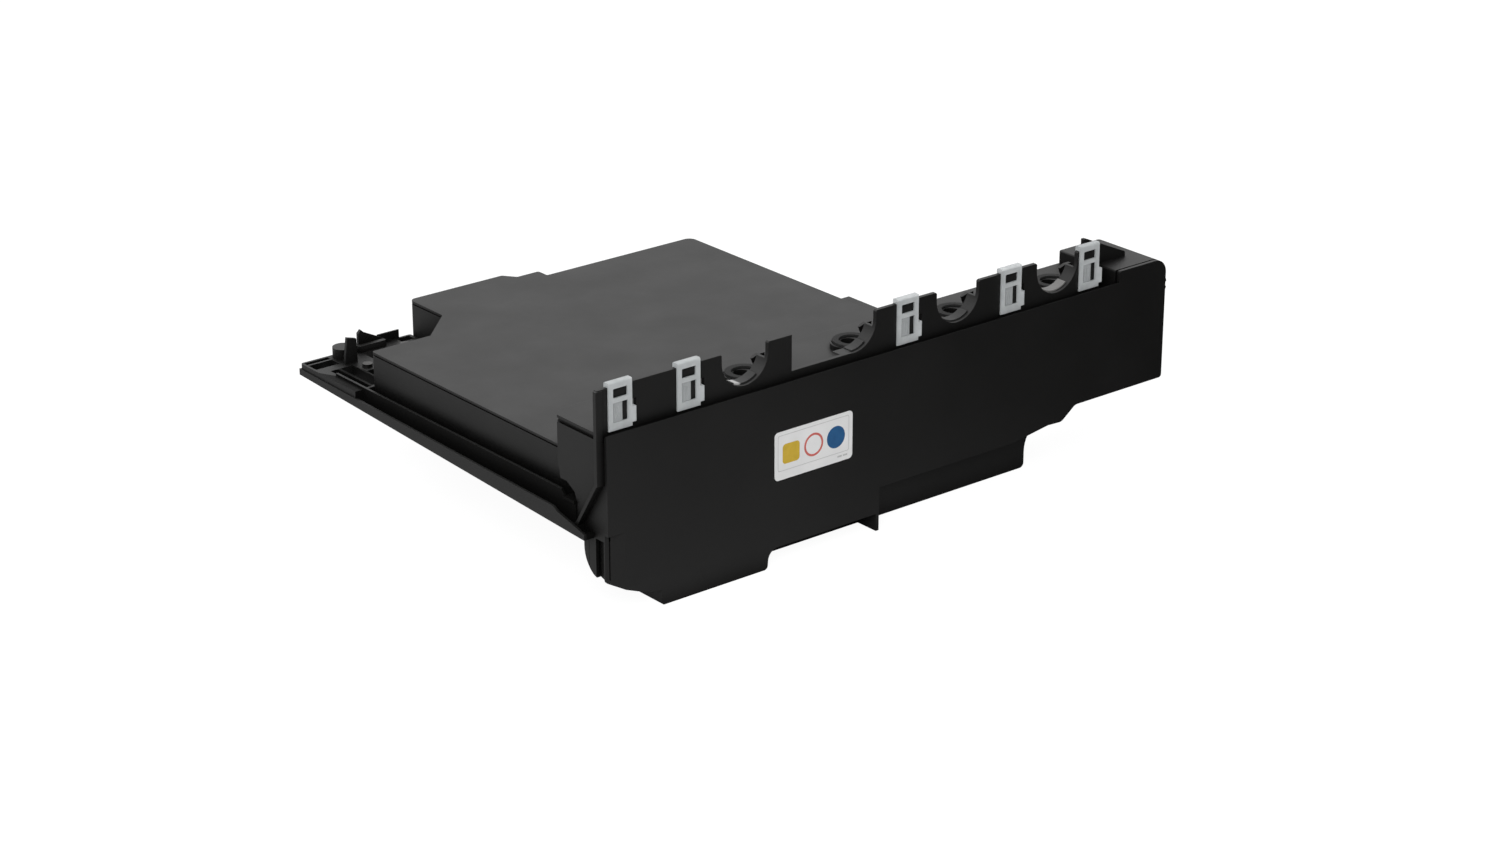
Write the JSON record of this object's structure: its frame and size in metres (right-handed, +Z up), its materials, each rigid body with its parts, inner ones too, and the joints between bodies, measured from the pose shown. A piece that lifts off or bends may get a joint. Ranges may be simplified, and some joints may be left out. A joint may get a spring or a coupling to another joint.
{
  "type": "waste toner container",
  "caption": "Flat black moulded container with a notched inlet wall, translucent clips, side guide rail, hanging sump and an inner auger.",
  "frame": {"origin": "centre of the sump's flat floor, on the plane that the container stands on", "axes": "+X along the front cover towards the drive end, +Y from the front cover to the back, +Z up"},
  "size_m": [0.4385, 0.2923, 0.1366],
  "materials": {
    "black_plastic": "fine matte moulded texture",
    "clip_plastic": "translucent natural white",
    "sticker": "white printed film",
    "steel": "zinc plated",
    "bush_plastic": "natural acetal",
    "felt": "pressed felt",
    "foam": "closed-cell foam",
    "pale_film": "pale low-friction film"
  },
  "bodies": {
    "container": {"lower_case": "black_plastic", "top_cover": "black_plastic", "inlet_frame": "black_plastic", "front_cover": "black_plastic", "label": "sticker", "guide_rail": "black_plastic", "rail_screws": "steel", "left_bush": "bush_plastic", "right_bush": "bush_plastic", "shaft_seal": "felt", "vent_filter": "felt", "clip_1": "clip_plastic", "clip_2": "clip_plastic", "clip_3": "clip_plastic", "clip_4": "clip_plastic", "clip_5": "clip_plastic", "inlet_seal_1": "foam", "inlet_seal_2": "foam", "inlet_seal_3": "foam", "inlet_seal_4": "foam", "saddle_pad_1": "pale_film", "saddle_pad_2": "pale_film", "saddle_pad_3": "pale_film", "saddle_pad_4": "pale_film"},
    "spindle": {"auger": "black_plastic", "drive_coupling": "black_plastic"}
  },
  "joints": [
    {"name": "spindle_turn", "type": "hinge", "parent": "container", "child": "spindle", "pos_m": [0.21515, -0.07963, 0.0925], "axis": [1, 0, 0], "continuous": true}
  ]
}
